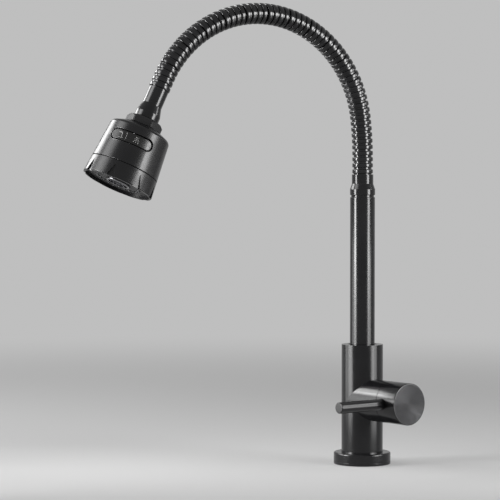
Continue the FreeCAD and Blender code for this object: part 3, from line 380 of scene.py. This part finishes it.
nodeFinishes = {
    "black_gloss": ("tap_body", "base_flange", "riser_tube", "riser_collar", "lower_ferrule", "lever",
                    "upper_ferrule"),
    "head_black": ("head_shell", "grip_ring"),
    "nut_black": ("swivel_nut",),
    "face_black": ("face_plate", "barrel_slip_ring"),
    "seal_rubber": ("base_gasket", "deck_rubber_washer", "cartridge_seat_seal", "cartridge_o_ring",
                    "spindle_o_ring", "riser_o_rings", "swivel_washer"),
    "brass_raw": ("cartridge_housing", "cartridge_spindle", "headwork_nut", "riser_tail", "lock_nut",
                  "hose_tail_lower", "hose_tail_upper", "swivel_connector"),
    "steel": ("deck_steel_washer", "spindle_clip", "handle_set_screw", "riser_retainer", "rocker_pin"),
    "bright_trim": ("aerator_ring",),
    "white_plastic": ("swivel_bush", "handle_insert", "head_core", "aerator_housing"),
    "ceramic_white": ("ceramic_disc_fixed", "ceramic_disc_moving"),
}

for finish, names in nodeFinishes.items():
    for name in names:
        mesh = nodes[name].data
        mesh.materials.clear()
        mesh.materials.append(materials[finish])
print("CAD nodes finished")


# Mesh helpers


def addPiece(name, mesh, body, finish, replaced=(), sharp=35.0, place=None):
    for polygon in mesh.polygons:
        polygon.use_smooth = True
    mesh.set_sharp_from_angle(angle=math.radians(sharp))
    mesh.materials.append(materials[finish])
    piece = bpy.data.objects.new(name, mesh)
    scene.collection.objects.link(piece)
    if place is not None:
        piece.matrix_world = place
    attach(piece, body)
    if replaced:
        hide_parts(*replaced)


def meshOf(name, vertices, faces, merge=1e-7):
    mesh = bpy.data.meshes.new(name)
    shape = bmesh.new()
    made = [shape.verts.new(point) for point in vertices]
    for face in faces:
        shape.faces.new([made[i] for i in face])
    bmesh.ops.remove_doubles(shape, verts=shape.verts, dist=merge)
    bmesh.ops.dissolve_degenerate(shape, edges=shape.edges, dist=merge)
    bmesh.ops.recalc_face_normals(shape, faces=shape.faces)
    shape.to_mesh(mesh)
    shape.free()
    return mesh


def ringPoints(place, radius, count):
    turns = [2 * math.pi * i / count for i in range(count)]
    return [place @ Vector((radius * math.cos(turn), radius * math.sin(turn), 0)) for turn in turns]


def skin(rings, closed=True):
    # quads between rings of as many points; closed joins the last ring to the first
    count = len(rings[0])
    vertices = [point for ring in rings for point in ring]
    faces = []
    for row in range(len(rings) if closed else len(rings) - 1):
        after = (row + 1) % len(rings)
        for i in range(count):
            j = (i + 1) % count
            faces.append((row * count + i, row * count + j, after * count + j, after * count + i))
    return vertices, faces


def shifted(faces, start):
    return [tuple(i + start for i in face) for face in faces]


def along(place, distance):
    # distance in millimetres
    return place @ Matrix.Translation((0, 0, distance * millimetre))


def turnedRings(profile, sides, place=Matrix.Identity(4)):
    # one ring for each radius and height of a profile, in millimetres
    return [ringPoints(along(place, height), radius * millimetre, sides) for radius, height in profile]


# Neck: 15 links of 4 ribs on one route, each riding its own body

neckRoute = {
    "base": 279.3,  # height of the lower ferrule's top, in millimetres as all of these
    "lead": 14.8,
    "arcs": ((311.5, 7.2), (111.1, 147.0)),  # radius, degrees
    "tail": 11.6,
}
ribLook = {
    "links": 15,
    "ribs": 4,
    "gap": 1.5,
    "crown": 10.0,
    "floor": 8.6,
    "bore": 5.7,
    "noseRadius": 7.95,
    "noseReach": 4.4,
    "noseMouth": 6.3,
    "clearance": 0.12,
    "boreAway": 2.0,  # the bore's rings begin this far from the link's upper end
    "boreNear": 7.0,  # and stop this far from its lower end
    "sides": 72,
    # share of the rib's half width, then share of its depth from floor to crown
    "profile": ((0.0, 0.0), (0.07, 0.5), (0.16, 0.78), (0.28, 0.92), (0.46, 0.98), (0.72, 1.0)),
}


def routePlace(distance):
    # the frame, in metres, at a distance in millimetres along the neck's centre line
    y, z, angle = 0.0, neckRoute["base"], 0.0
    left = distance
    steps = [(None, neckRoute["lead"], 0.0)]
    for radius, turn in neckRoute["arcs"]:
        steps.append((radius, radius * math.radians(turn), math.radians(turn)))
    for radius, length, turn in steps:
        step = min(left, length)
        if radius is None:
            z += step
        else:
            swept = turn * step / length
            y -= radius * (math.cos(angle) - math.cos(angle + swept))
            z += radius * (math.sin(angle + swept) - math.sin(angle))
            angle += swept
        left -= step
        if left <= 0:
            break
    y -= max(left, 0) * math.sin(angle)
    z += max(left, 0) * math.cos(angle)
    return Matrix.Translation((0, y * millimetre, z * millimetre)) @ Matrix.Rotation(angle, 4, "X")


neckLength = neckRoute["lead"] + neckRoute["tail"]
neckLength += sum(radius * math.radians(turn) for radius, turn in neckRoute["arcs"])
ribPitch = neckLength / (ribLook["links"] * ribLook["ribs"])
linkLength = ribPitch * ribLook["ribs"]
headPlace = routePlace(neckLength)


def linkBody(number):
    if number == 0:
        return "riser"
    if number == ribLook["links"] - 1:
        return "neck_end"
    return "link_%02d" % (number + 1)


def ribSteps(start):
    # distances and radii over a link's four ribs
    half = (ribPitch - ribLook["gap"]) / 2
    deep = ribLook["crown"] - ribLook["floor"]
    steps = []
    for rib in range(ribLook["ribs"]):
        middle = start + (rib + 0.5) * ribPitch
        rising = [(middle - half * (1 - share), ribLook["floor"] + deep * depth)
                  for share, depth in ribLook["profile"]]
        steps += rising
        steps += [(2 * middle - distance, radius) for distance, radius in reversed(rising)]
    return steps


def ballRings(place, sides, radius, steps):
    # rings of a ball round a place, at distances along its axis
    return turnedRings([(math.sqrt(radius ** 2 - away ** 2), away) for away in steps], sides, place)


def evenSteps(first, last, count):
    return [first + (last - first) * step / (count - 1) for step in range(count)]


def makeLink(number):
    look = ribLook
    start = number * linkLength
    end = start + linkLength
    startPlace, endPlace = routePlace(start), routePlace(end)
    sides, halfGap = look["sides"], look["gap"] / 2
    rings = []
    for distance, radius in ribSteps(start):
        rings.append(ringPoints(routePlace(distance), radius * millimetre, sides))
    if number < look["links"] - 1:
        rings += ballRings(endPlace, sides, look["noseRadius"], evenSteps(-halfGap, look["noseReach"], 7))
        rings += turnedRings([(look["noseMouth"], look["noseReach"])], sides, endPlace)
    else:
        rings += turnedRings([(look["floor"], 0), (look["bore"], 0)], sides, endPlace)
    for distance in evenSteps(end - look["boreAway"], start + look["boreNear"], 5):
        rings.append(ringPoints(routePlace(distance), look["bore"] * millimetre, sides))
    if number:
        socket = look["noseRadius"] + look["clearance"]
        deepest = math.sqrt(socket ** 2 - look["bore"] ** 2)
        rings += ballRings(startPlace, sides, socket, evenSteps(deepest, halfGap, 6))
    else:
        rings += turnedRings([(look["bore"], 0), (look["floor"], 0)], sides, startPlace)
    name = "ribs_%02d" % (number + 1)
    replaced = ["neck_link_%02d" % (number + 1)]
    addPiece(name, meshOf(name, *skin(rings)), linkBody(number), "rib_black", replaced)


for linkNumber in range(ribLook["links"]):
    makeLink(linkNumber)
print("neck ribs made, pitch %.2f mm" % ribPitch)


# Water hose inside the neck, a span for each link

hoseLook = {"radius": 5.3, "bore": 3.75, "grip": 17.0, "joinGap": 0.4, "sides": 32}


def makeHoseSpan(number):
    look = hoseLook
    first, last = number == 0, number == ribLook["links"] - 1
    low = 0.0 if first else number * linkLength + look["joinGap"]
    high = neckLength if last else (number + 1) * linkLength - look["joinGap"]
    places = [routePlace(distance) for distance in evenSteps(low, high, 7)]
    if first:
        places.insert(0, along(routePlace(0), -look["grip"]))
    if last:
        places.append(along(headPlace, look["grip"]))
    rings = [ringPoints(place, look["radius"] * millimetre, look["sides"]) for place in places]
    rings += [ringPoints(place, look["bore"] * millimetre, look["sides"]) for place in reversed(places)]
    name = "hose_span_%02d" % (number + 1)
    replaced = ["water_hose"] if first else ()
    addPiece(name, meshOf(name, *skin(rings)), linkBody(number), "hose_clear", replaced)


for linkNumber in range(ribLook["links"]):
    makeHoseSpan(linkNumber)
print("hose spans made")


# Mounting shank with its half inch thread

threadLook = {
    "crest": 10.48, "depth": 0.95, "pitch": 1.814, "bore": 7.5,
    "low": -54.0, "plainFrom": -6.0, "top": 17.0, "lead": 1.2, "sides": 64,
    # share of the pitch, then share of the depth cut away
    "profile": ((0.0, 1.0), (0.12, 0.9), (0.4, 0.08), (0.5, 0.0), (0.6, 0.08), (0.88, 0.9)),
}


def makeThread():
    sides, pitch = threadLook["sides"], threadLook["pitch"]
    low, high = threadLook["low"], threadLook["plainFrom"]
    rows = []
    for turn in range(-1, int((high - low) / pitch) + 2):
        for share, cutAway in threadLook["profile"]:
            row = []
            for i in range(sides):
                height = low + (turn + share + i / sides) * pitch
                lead = min(max((height - low) / threadLook["lead"], 0), 1)
                fade = min(max((high - height) / pitch, 0), 1)
                radius = threadLook["crest"] - threadLook["depth"] * max(cutAway * fade, 1 - lead)
                angle = 2 * math.pi * i / sides
                level = min(max(height, low), high)
                row.append(Vector((radius * math.cos(angle), radius * math.sin(angle), level)) * millimetre)
            rows.append(row)
    step = len(threadLook["profile"])  # the last side joins the next turn, this many rows on
    faces = []
    for row in range(len(rows) - 1):
        here, above = row * sides, (row + 1) * sides
        faces += [(here + i, here + i + 1, above + i + 1, above + i) for i in range(sides - 1)]
    for row in range(len(rows) - 1 - step):
        last, turned = row * sides + sides - 1, (row + step) * sides
        faces.append((last, turned, turned + sides, last + sides))
    return [point for row in rows for point in row], faces


def makeShank():
    vertices, faces = makeThread()
    addPiece("shank_thread", meshOf("shank_thread", vertices, faces, merge=2e-6), "base", "brass_raw",
             ["mounting_shank"], sharp=50)
    root = threadLook["crest"] - threadLook["depth"]
    profile = [(threadLook["bore"], threadLook["low"]), (root, threadLook["low"]),
               (root, threadLook["plainFrom"]), (threadLook["crest"], threadLook["plainFrom"]),
               (threadLook["crest"], threadLook["top"]), (threadLook["bore"], threadLook["top"])]
    rings = turnedRings(profile, threadLook["sides"])
    addPiece("shank_core", meshOf("shank_core", *skin(rings)), "base", "brass_raw")


makeShank()
print("shank made")


# Handle cap: a turned cup with a spun, slightly dished end and a fine rim

capLook = {
    "turn": 10.0, "height": 62.5, "start": 42.75, "end": 68.0, "radius": 20.0, "wall": 3.2, "endWall": 4.0,
    "edge": 0.8, "mouthEdge": 0.25, "faceRing": 0.35, "faceThick": 1.4, "faceDrop": 0.05, "dish": 0.2,
    "faceGap": 0.01, "dishEdge": 0.15, "dishSteps": 24, "centre": 0.0001, "sides": 128,
}


def barrelPlace(distance):
    # local Z runs out along the barrel, so that the spun grain can follow it
    turn = math.radians(capLook["turn"])
    middle = Vector((distance * math.cos(turn), distance * math.sin(turn), capLook["height"]))
    turned = Matrix.Rotation(turn, 4, "Z") @ Matrix.Rotation(math.pi / 2, 4, "Y")
    return Matrix.Translation(middle * millimetre) @ turned


def roundedCorner(radius, height, edge, steps=5):
    # points over an outer corner, from the side towards the end
    points = []
    for step in range(steps + 1):
        angle = math.pi / 2 * step / steps
        points.append((radius - edge + edge * math.cos(angle), height - edge + edge * math.sin(angle)))
    return points


def makeCap():
    look = capLook
    place = barrelPlace(look["start"])
    depth = look["end"] - look["start"]
    inner = look["radius"] - look["wall"]
    face = look["radius"] - look["edge"] - look["faceRing"]
    side = [(inner, 0.0), (look["radius"] - look["mouthEdge"], 0.0), (look["radius"], look["mouthEdge"])]
    side += roundedCorner(look["radius"], depth, look["edge"])
    side += [(face, depth), (face, depth - look["endWall"]), (inner, depth - look["endWall"])]
    mesh = meshOf("cap_side", *skin(turnedRings(side, look["sides"])))
    addPiece("cap_side", mesh, "handle", "black_gloss", ["handle_cap"], place=place)
    back = depth - look["faceThick"]
    rim, dish = face - look["faceGap"], face - look["dishEdge"]
    disc = [(look["centre"], back), (rim, back), (rim, depth - look["faceDrop"])]
    for share in evenSteps(1.0, 0.0, look["dishSteps"]):
        drop = look["faceDrop"] + look["dish"] * (1 - share ** 2)
        disc.append((max(dish * share, look["centre"]), depth - drop))
    mesh = meshOf("cap_face", *skin(turnedRings(disc, look["sides"])))
    addPiece("cap_face", mesh, "handle", "spun_black", place=place)


makeCap()
print("handle cap made")


# Head: places on it are a polar angle round its axis and a distance down it

headLook = {
    "corner": (28.8, 44.6), "rim": (33.7, 96.7),
    "windowTurn": 33.0, "windowHalfAngle": 42.0, "windowHeight": 11.6, "windowAlong": 57.0,
}


def sideRadius(distance):
    low, high = headLook["corner"], headLook["rim"]
    return low[0] + (distance - low[1]) * (high[0] - low[0]) / (high[1] - low[1])


def onHead(radius, angle, distance):
    turn = math.radians(angle)
    return headPlace @ (Vector((radius * math.cos(turn), radius * math.sin(turn), distance)) * millimetre)


rockerLook = {
    "gap": 0.8, "sink": 0.5, "thick": 3.0, "tilt": 3.0, "pivotDepth": 5.5, "edge": 0.7, "edgeSteps": 4,
    "rows": 14,
}


def rockerTilt():
    # the turn about the pin that the rocker has at rest
    radius = sideRadius(headLook["windowAlong"]) - rockerLook["pivotDepth"]
    pivot = onHead(radius, headLook["windowTurn"], 0)
    axis = (headPlace.to_3x3() @ Vector((0, 0, 1))).normalized()
    turn = Matrix.Rotation(-math.radians(rockerLook["tilt"]), 4, axis)
    return Matrix.Translation(pivot) @ turn @ Matrix.Translation(-pivot)


def rockerOutline():
    surface = sideRadius(headLook["windowAlong"])
    height = headLook["windowHeight"] - 2 * rockerLook["gap"]
    halfArc = math.radians(headLook["windowHalfAngle"]) * surface - rockerLook["gap"]
    return surface, height / 2, halfArc


def rockerPoint(across, down, lift):
    # across runs round the head in mm from the window's middle, down along its axis; lift from the face
    surface, _, _ = rockerOutline()
    distance = headLook["windowAlong"] + down
    radius = sideRadius(distance) - rockerLook["sink"] + lift
    return onHead(radius, headLook["windowTurn"] + math.degrees(across / surface), distance)


def slotOutline(straight, reach, capSteps=24, sideSteps=30):
    # across and down round a slot: one end's half circle, a side, the other end's, the other side
    points = []
    for side, base in ((1, 0), (-1, math.pi)):
        for step in range(capSteps + 1):
            turn = -math.pi / 2 + math.pi * step / capSteps + base
            points.append((side * straight + reach * math.cos(turn), reach * math.sin(turn)))
        for step in range(1, sideSteps):
            points.append((side * straight * (1 - 2 * step / sideSteps), side * reach))
    return points


def fillSlot(outline, lift, vertices, faces):
    # strips across the slot, from one side to the other at the same place round the head
    upper = sorted((point for point in outline if point[1] > -1e-9), key=lambda point: point[0])
    lower = sorted((point for point in outline if point[1] < 1e-9), key=lambda point: point[0])
    rows = rockerLook["rows"]
    lines = []
    for top, bottom in zip(upper, lower):
        lines.append(range(len(vertices), len(vertices) + rows + 1))
        acrosses = evenSteps(top[0], bottom[0], rows + 1)
        downs = evenSteps(top[1], bottom[1], rows + 1)
        vertices += [rockerPoint(across, down, lift) for across, down in zip(acrosses, downs)]
    for first, second in zip(lines, lines[1:]):
        faces += [(first[step], first[step + 1], second[step + 1], second[step]) for step in range(rows)]


def makeRocker():
    _, halfHeight, halfArc = rockerOutline()
    edge = rockerLook["edge"]
    layers = [(0.0, -rockerLook["thick"])]
    for angle in evenSteps(0.0, math.pi / 2, rockerLook["edgeSteps"] + 1):
        layers.append((edge * (1 - math.cos(angle)), -edge + edge * math.sin(angle)))
    outlines = [slotOutline(halfArc - halfHeight, halfHeight - inset) for inset, _ in layers]
    rings = [[rockerPoint(across, down, lift) for across, down in outline]
             for outline, (_, lift) in zip(outlines, layers)]
    vertices, faces = skin(rings, closed=False)
    fillSlot(outlines[-1], 0.0, vertices, faces)
    fillSlot(outlines[0], -rockerLook["thick"], vertices, faces)
    mesh = meshOf("rocker_face", vertices, faces, merge=2e-6)
    mesh.transform(rockerTilt())
    addPiece("rocker_face", mesh, "rocker", "rocker_grey", ["selector_rocker"], sharp=50)


makeRocker()
print("rocker made")


# Signs on the rocker: a stream and a fan of dots, raised a little, with a divider

signLook = {
    "rise": 0.12,
    "foot": -0.2,  # the signs start below the rocker's face
    "stream": 10.9,
    "divider": 5.6,
    "spray": -4.9,
    "sprayLines": 3,
    "sprayDots": 4,
    "sprayGap": 0.9,
    "sprayFan": 0.42,
    "sprayTop": -2.2,
    "sprayStep": 1.5,
    "dot": 0.42,
    "dotSides": 14,
}


def strip(points, width):
    # a low raised band along points given as across and down
    rise, foot = signLook["rise"], signLook["foot"]
    edge = rise * 0.8
    section = ((1.25, foot), (1.0, edge), (0.5, rise), (-0.5, rise), (-1.0, edge), (-1.25, foot))
    rings = []
    for index, point in enumerate(points):
        before, after = points[max(index - 1, 0)], points[min(index + 1, len(points) - 1)]
        way = Vector((after[0] - before[0], after[1] - before[1])).normalized()
        side = Vector((-way.y, way.x)) * width / 2
        across, down = point
        rings.append([rockerPoint(across + side.x * k, down + side.y * k, lift) for k, lift in section])
    vertices, faces = skin(rings, closed=False)
    faces.append(tuple(range(len(section))))
    faces.append(tuple(range(len(vertices) - len(section), len(vertices))))
    return vertices, faces


def dot(across, down):
    rise, radius, count = signLook["rise"], signLook["dot"], signLook["dotSides"]
    foot = signLook["foot"]
    section = ((radius * 1.2, foot), (radius, rise * 0.6), (radius * 0.6, rise), (0.001, rise * 1.1))
    turns = [2 * math.pi * i / count for i in range(count)]
    rings = []
    for size, lift in section:
        rings.append([rockerPoint(across + size * math.cos(turn), down + size * math.sin(turn), lift)
                      for turn in turns])
    vertices, faces = skin(rings, closed=False)
    faces.append(tuple(range(count)))
    return vertices, faces


def makeSigns():
    look = signLook
    at, divider = look["stream"], look["divider"]
    spout = [(at + 2.6, -1.9), (at + 1.6, -2.3), (at + 0.2, -2.2), (at - 0.9, -1.6), (at - 1.3, -0.8)]
    parts = [
        strip(spout, 0.75),
        strip([(at - 1.3, -0.1), (at - 1.3, 2.6)], 0.6),
        strip([(at + 2.4, 2.7), (at - 2.6, 2.7)], 0.4),
        strip([(divider, -3.2), (divider - 0.5, 3.2)], 0.35),
    ]
    for line in range(look["sprayLines"]):
        for step in range(look["sprayDots"]):
            across = look["spray"] + (line - 1) * (look["sprayGap"] + look["sprayFan"] * step)
            parts.append(dot(across, look["sprayTop"] + look["sprayStep"] * step))
    vertices, faces = [], []
    for points, polygons in parts:
        faces += shifted(polygons, len(vertices))
        vertices += points
    mesh = meshOf("rocker_signs", vertices, faces)
    mesh.transform(rockerTilt())
    addPiece("rocker_signs", mesh, "rocker", "sign_print", sharp=60)


makeSigns()
print("signs made")


# Window rim: a fine bead where the shell's side turns into the window

rimLook = {"bead": 0.32, "rise": 0.12, "outset": 0.12, "sides": 8}


def makeWindowRim():
    surface = sideRadius(headLook["windowAlong"])
    half = headLook["windowHeight"] / 2
    straight = math.radians(headLook["windowHalfAngle"]) * surface - half
    centres, outwards = [], []
    for across, down in slotOutline(straight, half + rimLook["outset"]):
        distance = headLook["windowAlong"] + down
        turn = headLook["windowTurn"] + math.degrees(across / surface)
        centres.append(onHead(sideRadius(distance) + rimLook["rise"] - rimLook["bead"], turn, distance))
        outwards.append((onHead(1, turn, distance) - onHead(0, turn, distance)).normalized())
    turns = [2 * math.pi * i / rimLook["sides"] for i in range(rimLook["sides"])]
    bead = rimLook["bead"] * millimetre
    rings = []
    for index, centre in enumerate(centres):
        way = (centres[(index + 1) % len(centres)] - centres[index - 1]).normalized()
        side = way.cross(outwards[index]).normalized()
        outward = side.cross(way).normalized()
        rings.append([centre + (side * math.cos(turn) + outward * math.sin(turn)) * bead for turn in turns])
    addPiece("window_rim", meshOf("window_rim", *skin(rings)), "head", "head_black")


makeWindowRim()
print("window rim made")


# Nozzle mat: a soft ring with 24 tapered nozzles, each with its own bore

nozzleLook = {
    "count": 24, "circle": 20.5, "radius": 1.1, "root": 0.3, "proud": 0.9, "sides": 20,
    "plateBack": 91.7, "plateFront": 93.7, "matThick": 1.5, "matWidth": 9.0, "matSides": 96,
}


def makeNozzles():
    look = nozzleLook
    inner, outer = look["circle"] - look["matWidth"] / 2, look["circle"] + look["matWidth"] / 2
    top, back = look["plateBack"] - look["matThick"], look["plateBack"]
    mat = [(inner, top), (outer, top), (outer, back), (inner, back)]
    vertices, faces = skin(turnedRings(mat, look["matSides"], headPlace))
    tip = look["plateFront"] + look["proud"]
    # share of the nozzle's radius and place down the head, from its foot over its tip into its bore
    section = ((0.95, back - look["root"]), (1.0, look["plateFront"]), (0.96, tip - 0.5), (0.84, tip - 0.08),
               (0.72, tip), (0.5, tip - 0.02), (0.42, tip - 0.2), (0.4, tip - 1.6), (0.001, tip - 1.6))
    profile = [(look["radius"] * share, height) for share, height in section]
    for number in range(look["count"]):
        turn = 2 * math.pi * number / look["count"]
        offset = Vector((math.cos(turn), math.sin(turn), 0)) * look["circle"] * millimetre
        rings = turnedRings(profile, look["sides"], headPlace @ Matrix.Translation(offset))
        points, quads = skin(rings, closed=False)
        faces += shifted(quads, len(vertices))
        faces.append(tuple(len(vertices) + i for i in range(look["sides"])))
        vertices += points
    mesh = meshOf("nozzle_ring", vertices, faces, merge=2e-6)
    addPiece("nozzle_ring", mesh, "head", "nozzle_rubber", ["nozzle_mat"], sharp=50)


makeNozzles()
print("nozzles made")


# Mesh screens in the aerator: woven wires, three deep

screenLook = {
    "radius": 10.05, "wire": 0.13, "spacing": 0.85, "weave": 0.8,
    "heights": (90.85, 89.25, 87.65), "turn": 30.0,
}


def wireAcross(offset, upright, level, phase):
    # one wire with its weave and its square section, across the round screen
    look = screenLook
    half = math.sqrt(max(look["radius"] ** 2 - offset ** 2, 0))
    steps = max(int(2 * half / look["spacing"] * 2), 2)
    across = Vector((1, 0, 0)) if upright else Vector((0, 1, 0))
    aside, up = across * look["wire"], Vector((0, 0, look["wire"]))
    rings = []
    for at in evenSteps(-half, half, steps + 1):
        weave = look["wire"] * look["weave"] * math.cos(math.pi * at / look["spacing"] + phase)
        centre = Vector((offset, at, level + weave)) if upright else Vector((at, offset, level - weave))
        rings.append([(centre + corner) * millimetre for corner in (aside, up, -aside, -up)])
    return skin(rings, closed=False)


def makeScreens():
    look = screenLook
    vertices, faces = [], []
    for layer, level in enumerate(look["heights"]):
        turn = Matrix.Rotation(math.radians(look["turn"] * layer), 4, "Z")
        count = int(look["radius"] / look["spacing"])
        for number in range(-count, count + 1):
            for upright in (True, False):
                points, quads = wireAcross(number * look["spacing"], upright, level, math.pi * number)
                ends = [(0, 1, 2, 3), tuple(len(points) - 4 + i for i in range(4))]
                faces += shifted(quads + ends, len(vertices))
                vertices += [headPlace @ turn @ point for point in points]
    mesh = meshOf("aerator_screens", vertices, faces)
    addPiece("aerator_screens", mesh, "head", "steel", ["aerator_mesh"], sharp=60)


makeScreens()
print("screens made")
